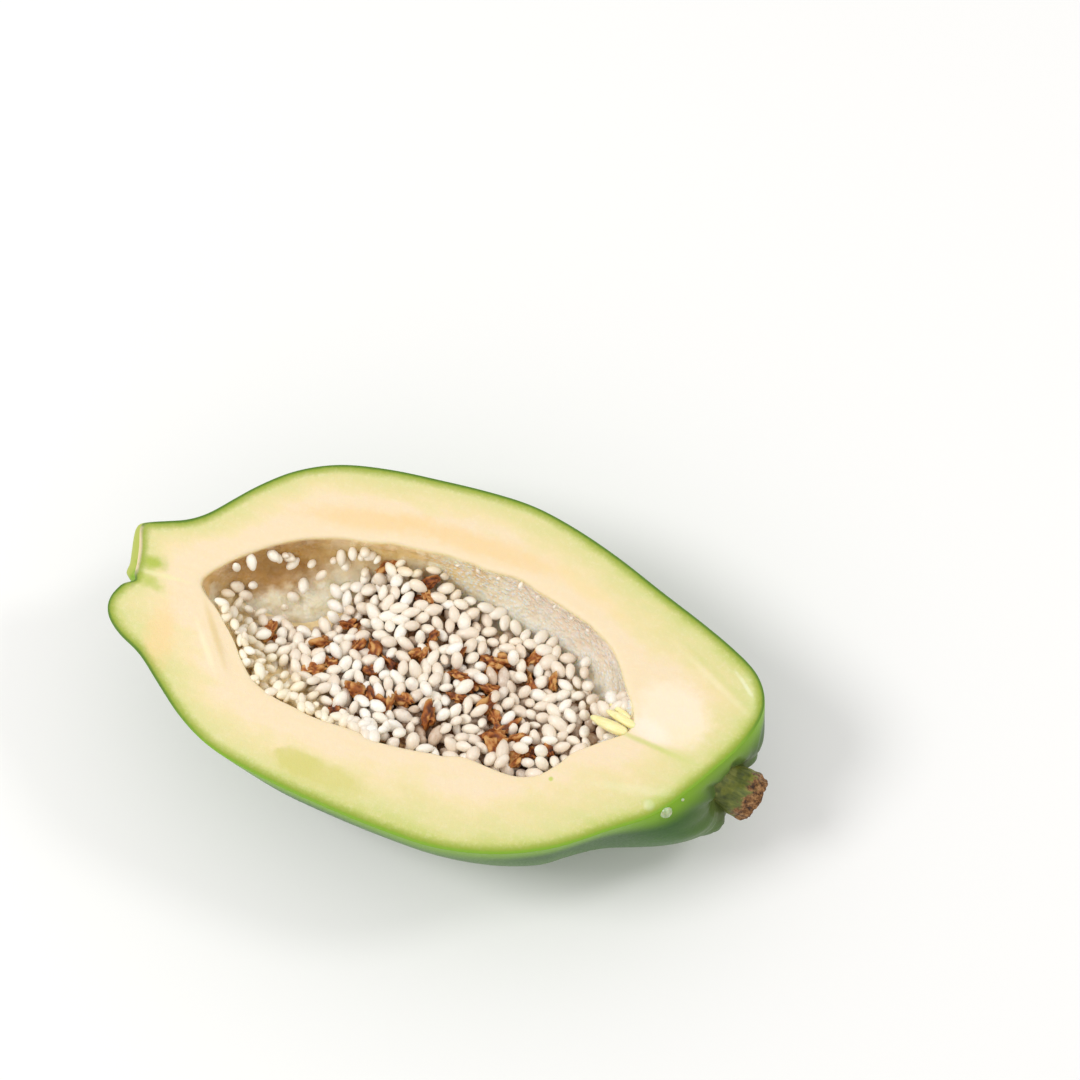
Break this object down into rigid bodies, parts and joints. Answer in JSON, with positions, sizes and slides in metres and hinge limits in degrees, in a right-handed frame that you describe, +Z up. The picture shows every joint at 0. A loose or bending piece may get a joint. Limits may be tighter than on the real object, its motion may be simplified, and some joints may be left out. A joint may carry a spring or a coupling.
{
  "type": "half papaya",
  "caption": "Half of an unripe green papaya cut lengthwise, lying on its rounded back, with a hollow full of pale seeds and a short stem stub.",
  "frame": {"origin": "middle of the bounding box in plan, on the surface that the half lies on", "axes": "+X along the fruit towards the stem, +Y across it, +Z up, square to the cut face"},
  "size_m": [0.1904, 0.1032, 0.0484],
  "materials": {
    "flesh": "moist pale flesh under a thin green skin",
    "stem": "green stalk with a dry corky cut end",
    "seeds": "wet white seeds with a few dry brown ones"
  },
  "bodies": {
    "root": {"fruit_half": "flesh", "stem": "stem", "seed_heap": "seeds"}
  },
  "joints": []
}
